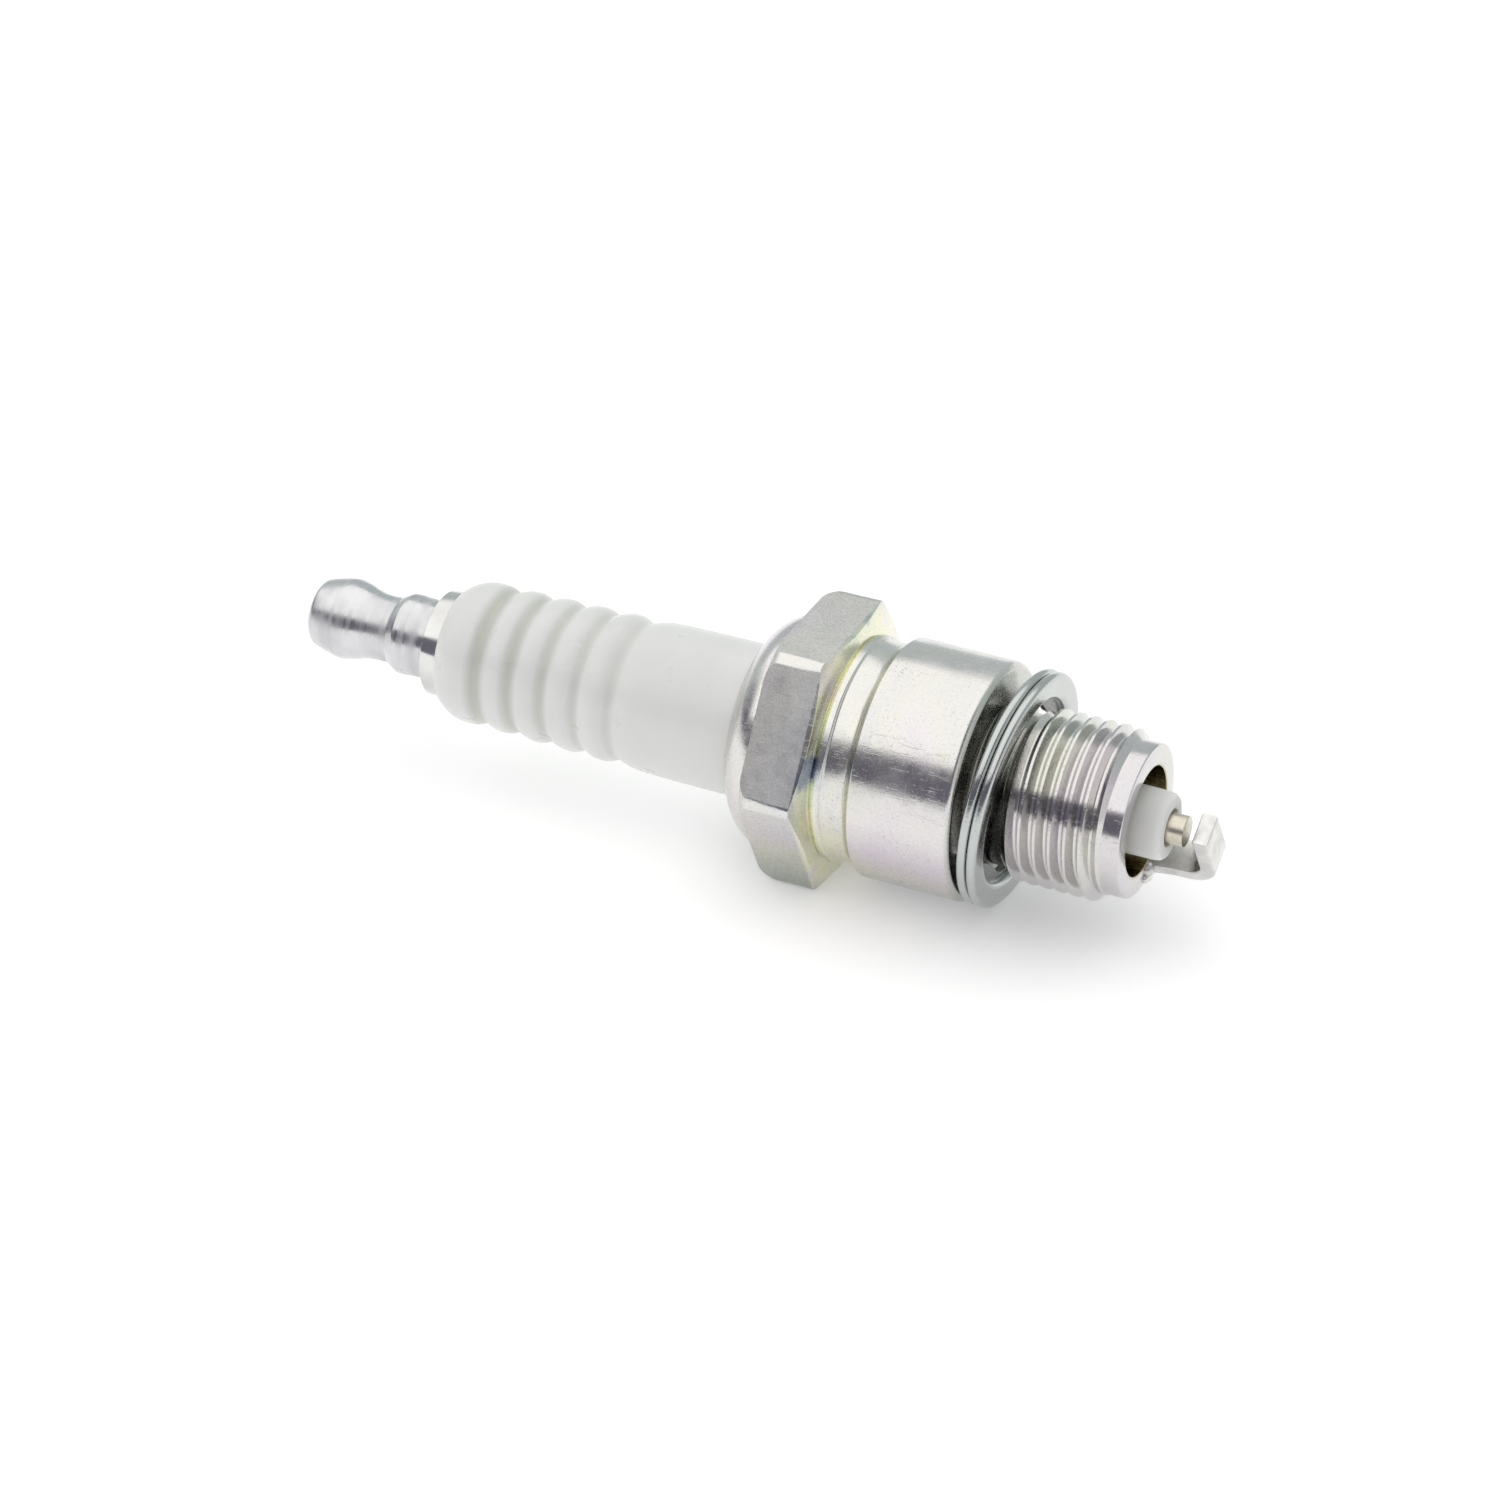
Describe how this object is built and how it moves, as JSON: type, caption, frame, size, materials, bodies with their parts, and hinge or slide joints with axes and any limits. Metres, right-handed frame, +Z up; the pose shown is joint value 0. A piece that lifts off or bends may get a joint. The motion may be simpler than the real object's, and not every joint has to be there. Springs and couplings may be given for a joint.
{
  "type": "spark plug",
  "caption": "Short-reach spark plug with an M14 thread, hexagon shell, ribbed ceramic insulator, loose folded gasket and screw-on terminal nut.",
  "frame": {"origin": "centre of the seat face, where the plug's axis crosses it", "axes": "+X along the plug's axis towards the firing end, terminal to -X; +Z up, the plug lies on one flat of its hexagon"},
  "size_m": [0.0787, 0.0238, 0.0208],
  "materials": {
    "zinc_plated_shell": "bright zinc plate with a faint iridescence",
    "alumina": "white glaze outside, matt on the nose",
    "turned_aluminium": "bright turned",
    "plated_steel": "bright plated",
    "conductive_glass": "dark fused glass and metal powder",
    "nickel_alloy": "satin",
    "copper": "drawn",
    "strap_alloy": "polished",
    "gasket_steel": "bright zinc plate",
    "packing_steel": "drawn wire",
    "talc": "pressed powder, matte",
    "washer_steel": "plain"
  },
  "bodies": {
    "plug": {"metal_shell": "zinc_plated_shell", "insulator": "alumina", "terminal_stud": "plated_steel", "glass_seal": "conductive_glass", "center_electrode": "nickel_alloy", "copper_core": "copper", "ground_electrode": "strap_alloy", "upper_packing_ring": "packing_steel", "talc_ring": "talc", "lower_packing_ring": "packing_steel", "seat_packing": "washer_steel"},
    "nut": {"terminal_nut": "turned_aluminium"},
    "washer": {"gasket": "gasket_steel"}
  },
  "joints": [
    {"name": "terminal_nut_off", "type": "slide", "parent": "plug", "child": "nut", "axis": [-1, 0, 0], "range_m": [0, 0.008]},
    {"name": "gasket_play", "type": "slide", "parent": "plug", "child": "washer", "axis": [1, 0, 0], "range_m": [-0.0002, 0.0002]}
  ]
}
